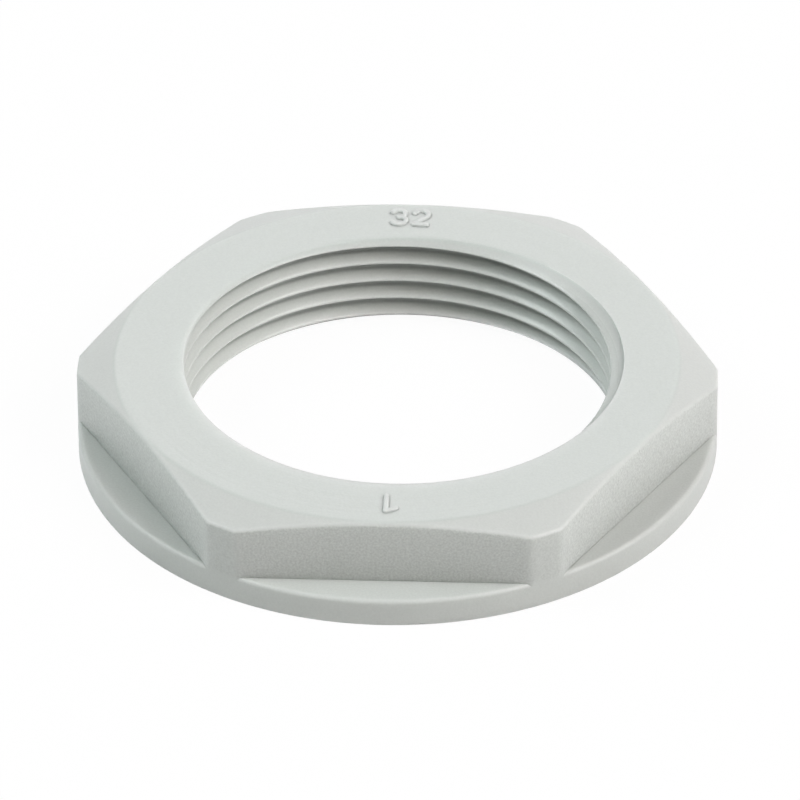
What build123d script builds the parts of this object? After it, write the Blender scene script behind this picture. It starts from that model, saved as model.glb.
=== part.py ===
from build123d import *
import math
import os

# Locknut for an M32 x 1.5 cable gland: one moulded ring in grey polyamide.
# It lies on its bearing face, the plane z = 0, with the thread's axis on Z, and two
# of the six spanner flats face -Y and +Y.  All lengths are in millimetres.

# Thread: ISO metric, right-handed, at the loose end of its tolerance as moulded.
THREAD_DIAMETER = 32.0      # nominal
THREAD_PLAY = 0.1           # the groove's root lies this much outside the nominal
PITCH = 1.5
CREST_WIDTH = 0.45          # what the groove leaves standing on the bore
ROOT_WIDTH = 0.18           # flat bottom of the groove
FLANK_ANGLE = 30.0          # degrees, each flank from the plane of the turn
GROOVE_HEIGHT = -0.38       # a groove's middle where it crosses the +X side

# The ring round the thread.
HEIGHT = 7.0                # bearing face to top face
WALL = 4.4                  # thread's root to a spanner flat: 41 mm across the flats
COLLAR_HEIGHT = 2.1         # round flange under the flats
CORNER_TRIM = 0.67          # what the round outline takes off the hexagon's corners
CROWN_SLOPE = 19.3          # degrees, the crown's fall towards the corners
CROWN_LAND = 0.03           # crown left beside the rounding, at the middle of a flat

# Edges.
LEAD_IN = 0.7               # 45 degree lead-in at the bearing face
RIM_BEVEL = 0.2             # top of the bore
EDGE_ROUND = 0.35           # edges of the hexagon, and the flange's upper edge

# The groove's two flats and its flanks set how deep it goes.
rise = math.tan(math.radians(FLANK_ANGLE))
root_r = THREAD_DIAMETER / 2 + THREAD_PLAY
bore_r = root_r - (PITCH - CREST_WIDTH - ROOT_WIDTH) / 2 / rise

# The hexagon stands on the thread's wall, and one round outline trims its corners
# and makes the flange.
flat_r = root_r + WALL
outer_r = flat_r / math.cos(math.radians(30)) - CORNER_TRIM

# The crown starts just inside the rounding of the flats' upper edges.
edge_set = EDGE_ROUND * math.tan(math.radians(90 - CROWN_SLOPE) / 2)
crown_r = flat_r - edge_set - CROWN_LAND
corner_z = HEIGHT - (outer_r - crown_r) * math.tan(math.radians(CROWN_SLOPE))

# The groove's section starts a little inside the bore, so that it opens cleanly.
mouth_r = bore_r - 0.2
mouth_half = (PITCH - CREST_WIDTH) / 2 + 0.2 * rise
root_half = ROOT_WIDTH / 2

with BuildPart() as locknut:
    # Turned blank: lead-in, bearing face, outer wall, crown, top face and bore.
    with BuildSketch(Plane.XZ):
        with BuildLine():
            Polyline(
                (bore_r + LEAD_IN, 0),
                (outer_r, 0),
                (outer_r, corner_z),
                (crown_r, HEIGHT),
                (bore_r + RIM_BEVEL, HEIGHT),
                (bore_r, HEIGHT - RIM_BEVEL),
                (bore_r, LEAD_IN),
                close=True,
            )
        make_face()
    revolve(axis=Axis.Z)

    # Six flats, cut down to the flange and stopped by its round outline.
    with BuildSketch(Plane.XY.offset(COLLAR_HEIGHT)):
        Circle(outer_r + WALL)
        RegularPolygon(flat_r, 6, major_radius=False, mode=Mode.SUBTRACT)
    extrude(amount=HEIGHT, mode=Mode.SUBTRACT)

    # The crown's edges, the upright corners and the flange's edge are all rounded;
    # the inside corners at the foot of the flats stay sharp.
    cut_edges = locknut.edges(Select.LAST)
    curved = cut_edges.filter_by(lambda edge: edge.geom_type != GeomType.LINE)
    upright = cut_edges.filter_by(Axis.Z).filter_by(
        lambda edge: edge.length < HEIGHT - COLLAR_HEIGHT
    )
    fillet(curved + upright, EDGE_ROUND)

    # The thread runs out through both faces: one turn of groove at a time, from
    # below the bearing face to above the top.
    turn_z = GROOVE_HEIGHT - PITCH
    while turn_z < HEIGHT + PITCH:
        with BuildLine():
            turn = Helix(PITCH, PITCH, bore_r, center=(0, 0, turn_z))
        with BuildSketch(Plane.XZ):
            with BuildLine():
                Polyline(
                    (mouth_r, turn_z - mouth_half),
                    (root_r, turn_z - root_half),
                    (root_r, turn_z + root_half),
                    (mouth_r, turn_z + mouth_half),
                    close=True,
                )
            make_face()
        sweep(path=turn, is_frenet=True, mode=Mode.SUBTRACT)
        turn_z += PITCH

locknut.part.label = "locknut"
locknut.part.color = Color(0.78, 0.80, 0.78)

os.makedirs("parts", exist_ok=True)
export_step(locknut.part, "parts/locknut.step")
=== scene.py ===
# %% [markdown]
# # A moulded locknut, dressed for its portrait
#
# The object is the nut that holds a cable gland in the wall of an enclosure: one ring
# of light grey polyamide, with a round flange, six spanner flats, a sloping crown and
# a fine thread inside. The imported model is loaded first. It is the fixed frame that
# everything here is made in: metres, the bearing face on z = 0 and the thread's axis
# on Z.

# %% Load the frame
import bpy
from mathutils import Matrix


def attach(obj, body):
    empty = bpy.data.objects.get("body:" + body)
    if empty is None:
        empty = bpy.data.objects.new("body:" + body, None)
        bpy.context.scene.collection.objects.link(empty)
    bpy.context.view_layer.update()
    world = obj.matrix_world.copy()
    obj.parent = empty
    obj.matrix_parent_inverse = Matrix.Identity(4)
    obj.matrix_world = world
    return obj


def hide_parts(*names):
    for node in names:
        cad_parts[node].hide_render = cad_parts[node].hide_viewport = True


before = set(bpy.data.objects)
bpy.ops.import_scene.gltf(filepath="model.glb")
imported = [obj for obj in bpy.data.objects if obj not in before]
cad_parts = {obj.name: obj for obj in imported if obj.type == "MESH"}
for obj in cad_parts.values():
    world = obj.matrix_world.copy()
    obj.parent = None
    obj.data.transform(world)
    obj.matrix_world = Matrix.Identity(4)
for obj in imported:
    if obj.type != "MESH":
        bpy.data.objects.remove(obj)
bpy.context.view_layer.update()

# %% [markdown]
# ## The nut's sizes
#
# A nut is easier to think about in millimetres, so every size is kept in them and the
# mesh is scaled by a thousandth at the very end. The outside repeats the solid model,
# because a render that changed it would be of another nut. The thread keeps the
# model's pitch, hand and crests, but its groove is finer, and a small recess at the
# bearing face takes the place of the lead-in.

# %% Sizes in millimetres
import math
import numpy as np

MM = 0.001
HEIGHT, COLLAR_HEIGHT = 7.0, 2.1
FLAT_R, OUTER_R = 20.5, 23.0
CROWN_DEGREES = 19.3
CROWN_R, CROWN_FALL = 20.22, math.tan(math.radians(CROWN_DEGREES))
EDGE_ROUND, CORNER_ROUND, FOOT_ROUND, RIM_ROUND = 0.30, 0.22, 0.12, 0.05
PITCH, CREST_R, ROOT_R, ROOT_HALF = 1.5, 15.347, 16.3, 0.115
GROOVE_HEIGHT = -0.51
RECESS_HEIGHT, RECESS_R, RECESS_BEVEL = 0.62, 16.12, 0.08
print("across flats", 2 * FLAT_R, "mm, flange", 2 * OUTER_R, "mm")

# %% [markdown]
# ## The plan of the nut
#
# Seen from above, the upper part is a hexagon whose corners are trimmed by a circle.
# It could be a cylinder cut by six boxes, but a boolean leaves long thin triangles
# that shade badly. Here the outline is a function instead: give it a direction, and it
# says how far the wall is. Along a flat that distance is the flat's divided by the
# cosine of the angle from its middle, at a corner it is the circle's radius, and in
# between a small arc touches both.

# %% The outline as a function of direction
FLAT_ANGLE = math.pi / 3
arc_x = FLAT_R - CORNER_ROUND
arc_y = math.sqrt((OUTER_R - CORNER_ROUND) ** 2 - arc_x ** 2)
ARC_START = math.atan2(arc_y, FLAT_R)
ARC_END = math.atan2(arc_y, arc_x)


def wall_radius(azimuth):
    """Distance of the hexagon's wall from the axis.

    The azimuth is folded into one flat's own angle. Up to ARC_START the wall is the
    flat, past ARC_END it is the circle, and between them it is where a ray leaves the
    rounding arc: the part of the arc's centre along the ray, plus the root of what is
    left.
    """
    fold = azimuth + math.pi / 2
    swing = np.abs(fold - FLAT_ANGLE * np.round(fold / FLAT_ANGLE))
    along = arc_x * np.cos(swing) + arc_y * np.sin(swing)
    spare = CORNER_ROUND ** 2 - (arc_x ** 2 + arc_y ** 2) + along ** 2
    arc = along + np.sqrt(np.maximum(spare, 0))
    flat = FLAT_R / np.cos(swing)
    return np.where(swing < ARC_START, flat, np.where(swing < ARC_END, arc, OUTER_R))


print("wall:", wall_radius(np.radians([-90.0, -75.0, -60.0])).round(3))

# %% [markdown]
# ## Where the columns go
#
# The surface is a grid: columns run round the nut and rows run along its section.
# Evenly spaced columns would miss the narrow rounding of the upright corners, so each
# half flat gets its columns in three groups, close together where the wall turns.

# %% Azimuths of the columns
BESIDE_ARC = 0.004
half_flat = np.concatenate([
    np.linspace(0, ARC_START - BESIDE_ARC, 28, endpoint=False),
    np.linspace(ARC_START - BESIDE_ARC, ARC_END + BESIDE_ARC, 9, endpoint=False),
    np.linspace(ARC_END + BESIDE_ARC, FLAT_ANGLE / 2, 4),
])
one_flat = np.concatenate([-half_flat[:0:-1], half_flat[:-1]])
azimuths = (np.arange(6)[:, None] * FLAT_ANGLE + one_flat).ravel()
azimuths = np.append(azimuths, azimuths[0] + 2 * math.pi)
print(len(azimuths), "columns from", azimuths[0].round(3), "to", azimuths[-1].round(3))

# %% [markdown]
# ## The thread
#
# A thread is a groove that climbs one pitch in each turn. A curve swept along a helix
# is the usual way to make one, but then it has to be cut out of the bore. It is
# simpler to say how deep the groove is at any direction and height. Moulded plastic
# has no sharp thread, so the crest and the root are blended into the flanks, and the
# crest is narrower than the flat one of the solid model. The core that forms the
# thread is screwed out of the nut while the plastic is still warm, which drags the
# last turn a little: there the groove lags behind its helix, and the crest stands in
# slightly.

# %% Groove depth and soft corners
FLANK_RISE = math.tan(math.radians(30))
CREST_SOFT, ROOT_SOFT = 0.14, 0.20
LAG, LAG_FROM = 0.15, 5.5
LEAN, LEAN_FROM = 0.07, 6.0


def soft_max(a, b, reach):
    """The larger of two values, rounded off where they are within reach."""
    near = np.maximum(reach - np.abs(a - b), 0) / reach
    return np.maximum(a, b) + near ** 2 * reach / 4


def soft_min(a, b, reach):
    """The smaller of two values, rounded off in the same way."""
    return -soft_max(-a, -b, reach)


def climbed(azimuth):
    """Height that a helix has gained at an azimuth: a pitch for each full turn."""
    return PITCH * azimuth / (2 * math.pi)


def lag(azimuth, height):
    """How far the groove has fallen behind its even climb.

    Nothing below LAG_FROM, then in proportion to the height. It is largest at the
    front and nothing at the back, by one half minus half the sine of the azimuth.
    """
    late = np.clip((height - LAG_FROM) / (HEIGHT - LAG_FROM), 0, 1)
    return LAG * (1 - np.sin(azimuth)) / 2 * late


def thread_radius(azimuth, height):
    """Distance of the bore's wall from the axis.

    The height above the groove's middle is taken modulo the pitch, after the climb
    for this azimuth is taken off. The wall is at the root near the middle, comes in
    along a 30 degree flank, and stops at the crest. A rounding at the top is cut
    where it lies outside the thread.
    """
    above = height + lag(azimuth, height) - GROOVE_HEIGHT - climbed(azimuth)
    off_middle = np.abs((above + PITCH / 2) % PITCH - PITCH / 2)
    flank = ROOT_R - (off_middle - ROOT_HALF) / FLANK_RISE
    crest = CREST_R - LEAN * np.clip(height - LEAN_FROM, 0, 1)
    bore = soft_max(soft_min(flank, ROOT_R, ROOT_SOFT), crest, CREST_SOFT)
    into_rim = np.clip(height - (HEIGHT - RIM_ROUND), 0, RIM_ROUND)
    rim = crest + RIM_ROUND - np.sqrt(RIM_ROUND ** 2 - into_rim ** 2)
    return np.maximum(bore, rim)


print("bore at +X:", thread_radius(0.0, np.linspace(1, 2.5, 6)).round(2))

# %% [markdown]
# ## The rows along the section
#
# The section starts at the inner edge of the bearing face, goes out along it, up the
# flange, in along the ledge, up the flat, over the crown and the top, round the rim
# and down the bore. Each stretch is a block of rows, and each row is an array with one
# value per column. Where a stretch shrinks to nothing, as the ledge does at the
# corners, its points fall together and are merged later.

# %% Outside of the nut
around = azimuths[:, None]
wall = wall_radius(around)
columns = np.ones_like(wall)


def block(radius, height):
    """A stretch of rows as a pair of equal arrays, one row of them per column."""
    radius, height = np.broadcast_arrays(radius * columns, height * columns)
    return np.stack([radius, height], axis=-1)


def share(count, start=0.0, end=1.0):
    """Evenly spaced numbers as one row."""
    return np.linspace(start, end, count)[None, :]


quarter = share(7, 0, math.pi / 2)
mouth = RECESS_R + RECESS_BEVEL
bearing = block(mouth + (OUTER_R - FOOT_ROUND - mouth) * share(8), 0.0)
foot = block(OUTER_R - FOOT_ROUND * (1 - np.sin(quarter[:, 1::2])),
             FOOT_ROUND * (1 - np.cos(quarter[:, 1::2])))
flange = block(OUTER_R, share(6, FOOT_ROUND, COLLAR_HEIGHT - EDGE_ROUND))

# The flange's rounded edge stops where it meets the flat.
edge_foot = COLLAR_HEIGHT - EDGE_ROUND
into_edge = np.clip(wall - (OUTER_R - EDGE_ROUND), 0, EDGE_ROUND)
ledge_height = edge_foot + np.sqrt(EDGE_ROUND ** 2 - into_edge ** 2)
edge_height = COLLAR_HEIGHT - EDGE_ROUND * (1 - np.sin(quarter))
edge = block(np.maximum(OUTER_R - EDGE_ROUND * (1 - np.cos(quarter)), wall),
             np.minimum(edge_height, ledge_height))
inner_ledge = np.minimum(wall, OUTER_R - EDGE_ROUND)
ledge_r = OUTER_R - EDGE_ROUND - (OUTER_R - EDGE_ROUND - inner_ledge) * share(7)
ledge = block(np.maximum(ledge_r, wall), ledge_height)
print("outside rows:", [part.shape[1] for part in (bearing, foot, flange, edge, ledge)])

# %% [markdown]
# The crown is a shallow cone that cuts the flats' tops into long arcs. Its edge with
# the wall is a rounding that touches both, and its edge with the level top is softened
# too.

# %% Flat, crown and top face
EDGE_TURN = math.radians(90 - CROWN_DEGREES)
BEND_SOFT, BEND_REACH = 0.05, 0.3
crown_set = EDGE_ROUND * math.tan(EDGE_TURN / 2)
turn_height = HEIGHT - (wall - CROWN_R) * CROWN_FALL - crown_set
flat = block(wall, ledge_height + (turn_height - ledge_height) * share(9))
over = share(9, 0, EDGE_TURN)
shoulder = block(wall - EDGE_ROUND * (1 - np.cos(over)),
                 turn_height + EDGE_ROUND * np.sin(over))


def top_height(radius):
    """Height of the level top and the crown, with a soft bend where they meet."""
    return HEIGHT - soft_max((radius - CROWN_R) * CROWN_FALL, 0.0, BEND_SOFT)


crown_start = shoulder[:, -1:, 0]
crown_length = np.maximum(crown_start - (CROWN_R + BEND_REACH), 0)
slope_r = crown_start - crown_length * share(5, 0.2, 1)
slope = block(slope_r, top_height(slope_r))
bend_r = np.minimum(CROWN_R + share(7, 0.25, -BEND_REACH), crown_start)
bend = block(bend_r, top_height(bend_r))
rim_r = thread_radius(around, HEIGHT)
level_r = CROWN_R - BEND_REACH + (rim_r - CROWN_R + BEND_REACH) * share(13)[:, 1:]
level = block(level_r, HEIGHT)
rim_turn = share(8, 0, math.pi / 2)[:, 1:]
rim_z = HEIGHT - RIM_ROUND * (1 - np.cos(rim_turn)) * columns
rim = block(thread_radius(around, rim_z), rim_z)
upper = (flat, shoulder, slope, bend, level, rim)
print("upper rows:", [part.shape[1] for part in upper])

# %% [markdown]
# The bore's rows climb with the thread, so each stays on the same point of the groove
# all the way round, and the crests are drawn by unbroken rows. They stand close
# together where the groove turns. After one turn a row has climbed a pitch and meets
# the row one pitch above it. Rows that leave the bore at the top or the bottom are
# held at its ends, and those that never enter it are dropped.
#
# At the bearing face a small recess lets the nut start on its mating thread: a
# shoulder at 0.62 mm, and a short wall with a bevel at its foot. The groove is deeper
# than the recess, so where it runs out the shoulder leads inwards.

# %% Bore
in_pitch = np.concatenate([
    np.linspace(-0.11, 0.11, 5), np.linspace(0.17, 0.54, 5), np.linspace(0.60, 0.72, 6),
    [0.75], np.linspace(0.78, 0.90, 6), np.linspace(0.96, 1.33, 5),
])
turns = np.arange(6, -3, -1)[:, None]
rows = np.sort((turns * PITCH + in_pitch[None, :]).ravel())[::-1] + GROOVE_HEIGHT
even_z = rows[None, :] + climbed(around)
bore_z = np.clip(even_z - lag(around, even_z), RECESS_HEIGHT, HEIGHT - RIM_ROUND)
enters = (rows > -1.3 * PITCH) & (rows < HEIGHT + 0.3 * PITCH)
bore = block(thread_radius(around, bore_z), bore_z)[:, enters]
thread_end = thread_radius(around, RECESS_HEIGHT)
recess_top = block(thread_end + (RECESS_R - thread_end) * share(5)[:, 1:],
                   RECESS_HEIGHT)
recess = block(RECESS_R, share(4, RECESS_HEIGHT, RECESS_BEVEL)[:, 1:])
section = np.concatenate([bearing, foot, flange, edge, ledge, *upper,
                          bore, recess_top, recess], axis=1)
print("rows in the bore:", bore.shape[1], "in the whole section:", section.shape[1])

# %% [markdown]
# ## From arrays to a mesh
#
# A grid becomes a mesh by joining each point to its neighbours with four-sided faces.
# The last column repeats the first, and the last row joins the first, so merging the
# points that coincide closes the ring. Edges between faces that meet at a steep angle
# are marked sharp, and all other edges are smooth.

# %% Mesh helper and the ring
import bmesh
import bpy

MERGE = 0.001 * MM


def grid_faces(count_u, count_v, closed_v):
    """Corner numbers of all cells: a point is joined to the next in u, v and both."""
    u = np.arange(count_u - 1)[:, None]
    v = np.arange(count_v if closed_v else count_v - 1)[None, :]
    right, up = (u + 1) * count_v, (v + 1) % count_v
    return np.stack([u * count_v + v, right + v, right + up, u * count_v + up],
                    axis=-1).reshape(-1, 4)


def make_piece(name, points, faces, sharp_degrees):
    """A mesh object at the origin, from points in millimetres and faces."""
    mesh = bpy.data.meshes.new(name)
    mesh.from_pydata((points.reshape(-1, 3) * MM).tolist(), [], faces.tolist())
    work = bmesh.new()
    work.from_mesh(mesh)
    bmesh.ops.remove_doubles(work, verts=work.verts, dist=MERGE)
    bmesh.ops.dissolve_degenerate(work, dist=MERGE, edges=work.edges)
    work.to_mesh(mesh)
    work.free()
    mesh.polygons.foreach_set("use_smooth", np.ones(len(mesh.polygons), dtype=bool))
    mesh.set_sharp_from_angle(angle=math.radians(sharp_degrees))
    piece = bpy.data.objects.new(name, mesh)
    bpy.context.collection.objects.link(piece)
    mesh.calc_loop_triangles()
    open_edges = len(mesh.edges) * 2 - len(mesh.loops)
    print(name, len(mesh.loop_triangles), "triangles, open edges:", open_edges)
    return piece


section_r, section_z = section[..., 0], section[..., 1]
ring_points = np.stack([section_r * np.cos(around), section_r * np.sin(around),
                        section_z], axis=-1)
ring = make_piece("moulded_ring", ring_points,
                  grid_faces(*section.shape[:2], closed_v=True), 35)
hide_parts("locknut")
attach(ring, "root")

# %% [markdown]
# ## The raised numerals
#
# The mould leaves raised figures on the top face: the thread's diameter at the back
# and the number of the mould's cavity at the front. A text object would give them a
# printer's typeface with square shoulders, but these are cut into steel with a round
# tool. So each figure is a set of strokes, and the surface rises by how near a point
# is to the nearest stroke. Strokes that cross then melt into each other, as they do in
# the mould.

# %% Strokes of the figures


def bow(x, y, radius_x, radius_y, start, end):
    """Points along part of an ellipse, from one angle in degrees to another."""
    angle = np.radians(np.linspace(start, end, 19))
    return np.stack([x + radius_x * np.cos(angle), y + radius_y * np.sin(angle)],
                    axis=-1)


STROKES = {
    "1": [np.array([[0.02, 0.82], [0.38, 1.0], [0.38, 0.0]])],
    "2": [np.concatenate([bow(0.29, 0.71, 0.28, 0.29, 165, -28),
                          [[0.03, 0.0], [0.58, 0.0]]])],
    "3": [bow(0.28, 0.75, 0.25, 0.25, 155, -90), bow(0.28, 0.26, 0.29, 0.26, 90, -155)],
}


def stroke_distance(x, y, strokes):
    """Distance to the nearest stroke: the least distance to any of its segments."""
    start = np.concatenate([line[:-1] for line in strokes])
    step = np.concatenate([line[1:] - line[:-1] for line in strokes])
    from_start = np.stack([x, y], axis=-1)[..., None, :] - start
    along = np.clip((from_start * step).sum(-1) / (step ** 2).sum(-1), 0, 1)
    return np.linalg.norm(from_start - along[..., None] * step, axis=-1).min(-1)


print("strokes:", {figure: len(lines) for figure, lines in STROKES.items()})

# %% [markdown]
# The figures stand on a thin plate that is sunk just under the top face, so only what
# rises above it shows. The plate follows the ring: across a figure is along the
# circle, and up is towards the rim of the nut.

# %% Plates with the figures
RELIEF, SUNK, PLATE_DEPTH = 0.15, 0.04, 0.1
STROKE_EDGE, STROKE_SIDE = 0.28, 0.15
MARGIN, CELL, FIGURE_WIDTH = 0.34, 0.045, 0.62


def numeral_plate(name, text, middle_degrees, base_r, cap_height, advance):
    """A closed plate whose upper side rises to the relief along the strokes.

    The rise goes from 0 at STROKE_EDGE to 1 nearer the stroke, as 3 r^2 - 2 r^3.
    """
    width = advance * (len(text) - 1) + FIGURE_WIDTH * cap_height
    x = np.linspace(-width / 2 - MARGIN, width / 2 + MARGIN, int(width / CELL) + 16)
    y = np.linspace(-MARGIN, cap_height + MARGIN, int(cap_height / CELL) + 16)
    x, y = np.broadcast_arrays(x[:, None], y[None, :])
    nearest = np.full(x.shape, np.inf)
    for place, figure in enumerate(text):
        left = -width / 2 + place * advance
        lines = [line * cap_height + [left, 0.0] for line in STROKES[figure]]
        nearest = np.minimum(nearest, stroke_distance(x, y, lines))
    rise = np.clip((STROKE_EDGE - nearest) / STROKE_SIDE, 0, 1)
    surface = HEIGHT - SUNK + (RELIEF + SUNK) * rise * rise * (3 - 2 * rise)
    radius = base_r + y
    turn = math.radians(middle_degrees) - x / (base_r + cap_height / 2)
    shape = np.stack([radius * np.cos(turn), radius * np.sin(turn), surface], axis=-1)
    under = shape[:, ::-1].copy()
    under[..., 2] = HEIGHT - PLATE_DEPTH
    tube = np.concatenate([shape, under], axis=1)
    flatten, floor = [1, 1, 0], [0, 0, HEIGHT - PLATE_DEPTH]
    closed = np.concatenate([tube[:1] * flatten + floor, tube,
                             tube[-1:] * flatten + floor])
    piece = make_piece(name, closed, grid_faces(*closed.shape[:2], closed_v=True), 60)
    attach(piece, "root")
    return piece


size_numeral = numeral_plate("size_numeral", "32", 89.7, 17.6, 1.85, 1.6)
cavity_numeral = numeral_plate("cavity_numeral", "1", -89.3, 17.15, 1.83, 1.5)

# %% [markdown]
# ## Shader maths in plain expressions
#
# A material is a graph of nodes. Writing it as arithmetic is shorter, so a small class
# holds one output socket and turns +, -, * and / into Math nodes. Every other kind of
# node comes from one method, which sets the node up before it feeds its sockets.

# %% Node helpers


class Wire:
    """One value in a material, ready for arithmetic."""

    def __init__(self, shading, socket):
        self.shading, self.socket = shading, socket

    def _join(self, operation, first, second):
        return self.shading.node("ShaderNodeMath", {"operation": operation},
                                 {0: first, 1: second})

    def __add__(self, other):
        return self._join("ADD", self, other)

    __radd__ = __add__

    def __sub__(self, other):
        return self._join("SUBTRACT", self, other)

    def __rsub__(self, other):
        return self._join("SUBTRACT", other, self)

    def __mul__(self, other):
        return self._join("MULTIPLY", self, other)

    __rmul__ = __mul__

    def __truediv__(self, other):
        return self._join("DIVIDE", self, other)

    def __getitem__(self, name):
        """Another output of the same node."""
        return Wire(self.shading, self.socket.node.outputs[name])


class Shading:
    """A node tree, and the one way to add a node to it."""

    def __init__(self, tree):
        self.tree = tree
        tree.nodes.clear()

    def node(self, kind, settings, inputs):
        """Add a node: its settings first, then the values or wires of its sockets."""
        node = self.tree.nodes.new(kind)
        for name, value in settings.items():
            setattr(node, name, value)
        for name, value in inputs.items():
            if isinstance(value, Wire):
                self.tree.links.new(value.socket, node.inputs[name])
            else:
                node.inputs[name].default_value = value
        return Wire(self, node.outputs[0]) if node.outputs else None

    def step(self, value, low, high):
        """0 below low, 1 above high, and a smooth rise between them."""
        return self.node("ShaderNodeMapRange", {"interpolation_type": "SMOOTHSTEP"},
                         {"Value": value, "From Min": low, "From Max": high})

    def past(self, length, low, high):
        """The same step for a length in metres, with its two ends in millimetres."""
        return self.step(length, low * MM, high * MM)

    def noise(self, where, scale, detail=2.0, roughness=0.5):
        """Noise between 0 and 1; the scale is in waves per metre."""
        return self.node("ShaderNodeTexNoise", {"noise_dimensions": "3D"},
                         {"Vector": where, "Scale": scale, "Detail": detail,
                          "Roughness": roughness})

    def blend(self, amount, first, second):
        """One colour turning into another by an amount from 0 to 1."""
        return self.node("ShaderNodeMix", {"data_type": "RGBA"},
                         {0: amount, 6: first, 7: second})["Result"]


def new_material(name):
    """A material and the node tree that draws it."""
    material = bpy.data.materials.new(name)
    material.use_nodes = True
    return material, Shading(material.node_tree)


print("helpers ready")

# %% [markdown]
# ## Light grey polyamide
#
# The plastic is coloured through, so its colour hardly changes: a slow mottle from the
# flow of the melt, and a few burnt specks. What tells the surfaces apart is the steel
# of the mould. Its walls were spark eroded, which leaves a fine grain on the flats and
# a trace of it elsewhere. The top was turned, which leaves faint rings, and the core
# of the thread was polished, so the bore is glossier. The zones come from the place on
# the nut, read from Object coordinates, which stay with the object. An image would
# need unwrapping and would blur up close, while a mask from a radius or a height is
# sharp at any size.

# %% Zones of the surface
FLAT_MIDDLE, FLAT_SPAN = 4.3, 4.5
polyamide, shade = new_material("moulded_polyamide")
place = shade.node("ShaderNodeTexCoord", {}, {})["Object"]
axes = shade.node("ShaderNodeSeparateXYZ", {}, {"Vector": place})
height = axes["Z"]
flat_place = shade.node("ShaderNodeCombineXYZ", {}, {"X": axes["X"], "Y": axes["Y"]})
radius = shade.node("ShaderNodeVectorMath", {"operation": "LENGTH"},
                    {0: flat_place})["Value"]
past_crown = shade.node("ShaderNodeMath", {"operation": "MAXIMUM"},
                        {0: radius - CROWN_R * MM, 1: 0.0})

on_top = shade.past(height + CROWN_FALL * past_crown, 6.82, 6.94)
on_crown = on_top * shade.past(past_crown, 0.03, 0.30)
on_level = on_top * (1 - on_crown)
on_figure = shade.past(height, 7.03, 7.11)
in_ring = 1 - shade.past(radius, 16.50, 16.70)
on_corner = shade.past(radius, 22.70, 22.90)
on_flat = (shade.past(height, 2.08, 2.16) * (1 - on_top) * (1 - in_ring)
           * (1 - 0.5 * on_corner))
eroded = 0.25 + 0.75 * on_flat
# Painted shade and light up each flat: darker below its middle, paler above it.
flat_painted_shade = on_flat * (height - FLAT_MIDDLE * MM) / (FLAT_SPAN * MM)
in_bore = (in_ring * shade.past(height, 0.0, 0.02)
           * (1 - shade.past(height, 6.40, 6.90)))
# Painted shade: the roots of the thread are darkened, where shade falls in the groove.
in_root = in_bore * shade.past(radius, 15.98, 16.24)
# Painted light: the flanks of the thread are made a trace paler.
flank_painted_light = in_bore * shade.past(radius, 15.38, 15.62) - in_root
# Painted shade: the lip at the thread's lower end, which the light hardly reaches, is
# darkened most.
lip_painted_shade = in_bore * (1 - shade.past(height, 0.56, 0.74))
print("zones made, nodes so far:", len(polyamide.node_tree.nodes))

# %% [markdown]
# The colour is one grey, a trace greener on the turned top. The crown is a trace
# paler, painted light on its slope. It is also a little paler on the raised figures.
# Each flat is painted darker at its foot and paler towards its upper edge, painted
# shade and painted light. Painted shade darkens the roots of the thread, and most of
# all the lip at the thread's lower end, and a trace of painted light pales the
# thread's flanks. The grain scales the colour a little too, because the pits of an
# eroded surface hold some shade that a bump alone doesn't show.

# %% Colour
GREY_DARK, GREY_PALE = (0.575, 0.602, 0.576, 1.0), (0.605, 0.633, 0.606, 1.0)
TOP_GREY, CROWN_PAINTED_LIGHT_GREY = (0.572, 0.623, 0.589, 1.0), (0.662, 0.684, 0.660, 1.0)
SPECK_BROWN = (0.16, 0.16, 0.14, 1.0)
mottle = shade.noise(place, 160.0, 3.0, 0.6)
grain = shade.noise(place, 6200.0, 1.0, 0.5)
body = shade.blend(mottle, GREY_DARK, GREY_PALE)
body = shade.blend(0.5 * on_level, body, TOP_GREY)
# Painted light: the sloping crown is blended a trace paler.
body = shade.blend(0.5 * on_crown, body, CROWN_PAINTED_LIGHT_GREY)
# The tone adds the grain, then the painted shade and painted light of the zones above.
tone = (1 + 0.46 * eroded * (grain - 0.5) + 0.12 * flat_painted_shade + 0.07 * on_figure
        + 0.06 * flank_painted_light - 0.24 * in_root - 0.55 * lip_painted_shade)
body = shade.node("ShaderNodeVectorMath", {"operation": "SCALE"},
                  {0: body, "Scale": tone})

# One cell in seven of a cell pattern holds a speck, in its middle.
speck_cells = shade.node("ShaderNodeTexVoronoi", {"feature": "F1"},
                         {"Vector": place, "Scale": 320.0})
speck_pick = shade.node("ShaderNodeSeparateColor", {}, {0: speck_cells["Color"]})
in_middle = 1 - shade.step(speck_cells["Distance"], 0.022, 0.040)
speck = in_middle * shade.step(speck_pick["Red"], 0.86, 0.87)
body = shade.blend(speck * 0.55, body, SPECK_BROWN)
print("colour made, nodes so far:", len(polyamide.node_tree.nodes))

# %% [markdown]
# Light goes a short way into pale plastic before it comes out. That softens the shade
# at the edges and keeps the grooves from going black. A glossy coat over plain diffuse
# grey would leave the nut looking like painted plaster, so the shader scatters light
# under the surface over a fraction of a millimetre.

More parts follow.
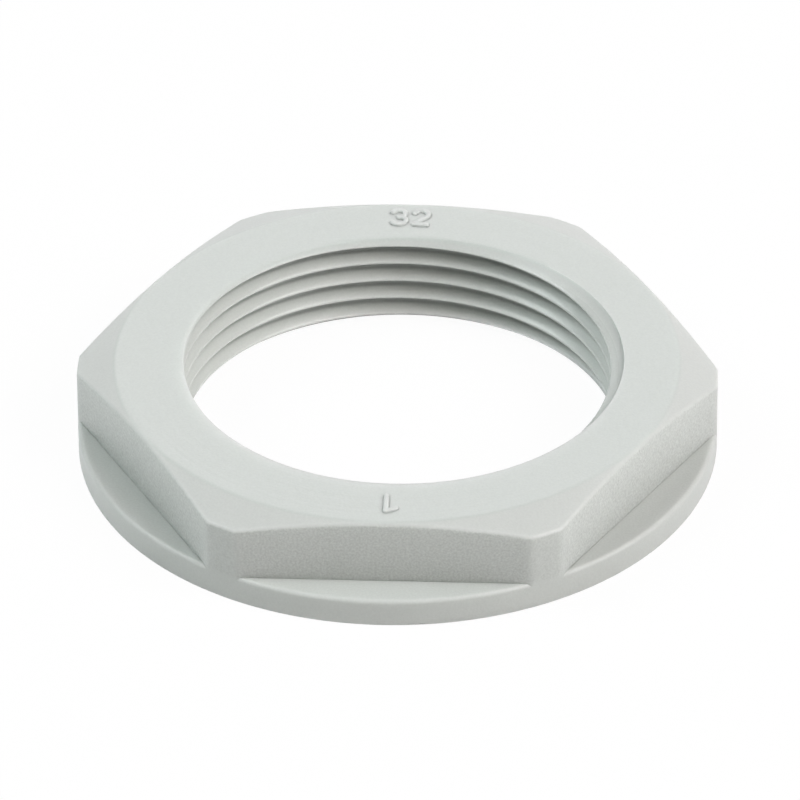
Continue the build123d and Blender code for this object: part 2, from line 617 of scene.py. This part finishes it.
# %% Polyamide
GRAIN_DEPTH, SCATTER = 0.03, 0.7
rings = shade.node("ShaderNodeTexNoise", {"noise_dimensions": "1D"},
                   {"W": radius, "Scale": 1900.0, "Detail": 1.0})
relief = grain * eroded + 0.25 * rings * on_top
bumped = shade.node("ShaderNodeBump", {}, {
    "Strength": 0.95, "Distance": GRAIN_DEPTH * MM, "Height": relief})
gloss = 0.33 + 0.10 * mottle + 0.06 * eroded - 0.18 * in_bore
plastic = shade.node("ShaderNodeBsdfPrincipled", {}, {
    "Base Color": body, "Roughness": gloss, "Normal": bumped, "IOR": 1.5,
    "Subsurface Weight": 1.0, "Subsurface Radius": (1.0, 1.0, 1.0),
    "Subsurface Scale": SCATTER * MM})
shade.node("ShaderNodeOutputMaterial", {}, {"Surface": plastic})
for piece in (ring, size_numeral, cavity_numeral):
    piece.data.materials.append(polyamide)
print("polyamide nodes:", len(polyamide.node_tree.nodes))

# %% [markdown]
# ## Floor and surroundings
#
# The nut lies on a white sheet that runs out of the picture. The camera sees the sheet
# nearly as pure white, whatever the lamps do, and a small share of its real shading is
# kept, which leaves the nut's soft shadow. The surroundings are white to the camera
# and to reflections too, but almost dark as a light, so the lamps alone model the nut.

# %% Floor and world
WHITE = (1.0, 1.0, 1.0, 1.0)
SHEET_REACH, SHEET_DROP = 2000.0, 0.02


def seen_directly(shading, most):
    """A factor for what the camera, a mirror or glass shows, up to the given most."""
    path = shading.node("ShaderNodeLightPath", {}, {})
    seen = path["Is Camera Ray"] + path["Is Glossy Ray"] + path["Is Transmission Ray"]
    capped = shading.node("ShaderNodeMath", {"operation": "MINIMUM"}, {0: seen, 1: 1.0})
    return capped * most


sheet_finish, shade = new_material("white_sheet")
lit = shade.node("ShaderNodeBsdfDiffuse", {}, {"Color": (0.96, 0.96, 0.96, 1.0)})
glow = shade.node("ShaderNodeEmission", {}, {"Color": WHITE, "Strength": 1.0})
both = shade.node("ShaderNodeMixShader", {},
                  {0: seen_directly(shade, 0.96), 1: lit, 2: glow})
shade.node("ShaderNodeOutputMaterial", {}, {"Surface": both})

span = np.array([-SHEET_REACH, SHEET_REACH])
corners = np.stack(np.broadcast_arrays(span[:, None], span[None, :], -SHEET_DROP),
                   axis=-1)
sheet = make_piece("white_sheet", corners, grid_faces(2, 2, closed_v=False), 60)
sheet.data.materials.append(sheet_finish)

world = bpy.data.worlds.new("studio")
bpy.context.scene.world = world
world.use_nodes = True
shade = Shading(world.node_tree)
room = shade.node("ShaderNodeBackground", {}, {"Color": WHITE, "Strength": 0.01})
white = shade.node("ShaderNodeBackground", {}, {"Color": WHITE, "Strength": 1.0})
both = shade.node("ShaderNodeMixShader", {},
                  {0: seen_directly(shade, 1.0), 1: room, 2: white})
shade.node("ShaderNodeOutputWorld", {}, {"Surface": both})

# %% [markdown]
# ## Lamps
#
# Product pictures are taken between large soft boxes. Two square lamps shine from the
# right, a stronger one from the left, and two weak ones fill the back and the front.
# They stand far enough away to light the sheet evenly, so that what it throws back is
# even too. Lower lamps would fill the grooves of the thread and flatten it.

# %% Lamps
from mathutils import Quaternion, Vector

LAMP_DISTANCE, LAMP_SIZE = 1.80, 1.08


def soft_lamp(name, azimuth, elevation, watts, colour):
    """A square lamp that looks at the nut from a direction given in degrees."""
    data = bpy.data.lights.new(name, "AREA")
    data.shape, data.size, data.energy, data.color = "SQUARE", LAMP_SIZE, watts, colour
    lamp = bpy.data.objects.new(name, data)
    turn, tilt = math.radians(azimuth), math.radians(elevation)
    way = Vector((math.cos(tilt) * math.cos(turn), math.cos(tilt) * math.sin(turn),
                  math.sin(tilt)))
    lamp.location = way * LAMP_DISTANCE
    lamp.rotation_euler = (-way).to_track_quat("-Z", "Y").to_euler()
    lamp.visible_camera = False
    bpy.context.collection.objects.link(lamp)
    return lamp


LAMPS = [
    soft_lamp("lamp_right_low", -15, 35, 12.0, (0.98, 1.0, 0.99)),
    soft_lamp("lamp_right_high", -22, 51, 13.0, (1.0, 0.955, 0.97)),
    soft_lamp("lamp_left", 180, 48, 18.2, (0.93, 0.995, 1.0)),
    soft_lamp("lamp_back", 90, 30, 6.2, (1.0, 0.93, 0.965)),
    soft_lamp("lamp_front", -55, 45, 4.3, (1.0, 0.80, 0.78)),
]
print("lamps:", [lamp.name for lamp in LAMPS])

# %% [markdown]
# ## Camera
#
# The place, the aim and the long lens were fitted to the outline of the nut, its flats
# and the crests of its thread, and the picture is turned by half a degree.

# %% Camera
CAMERA_PLACE = Vector((31.2268, -587.4870, 405.6056))
CAMERA_AIM = Vector((0.18093, 0.00962, 3.47924))
CAMERA_ROLL = -0.0090068
camera_data = bpy.data.cameras.new("camera")
camera_data.sensor_width, camera_data.sensor_fit = 36.0, "HORIZONTAL"
camera_data.lens = 445.917
camera = bpy.data.objects.new("camera", camera_data)
camera.location = CAMERA_PLACE * MM
look = (CAMERA_AIM * MM - camera.location).to_track_quat("-Z", "Y")
camera.rotation_euler = (look @ Quaternion((0, 0, 1), CAMERA_ROLL)).to_euler()
bpy.context.collection.objects.link(camera)
bpy.context.scene.camera = camera
bpy.context.scene.view_settings.view_transform = "Standard"
print("camera distance:", round((CAMERA_PLACE - CAMERA_AIM).length, 1), "mm")
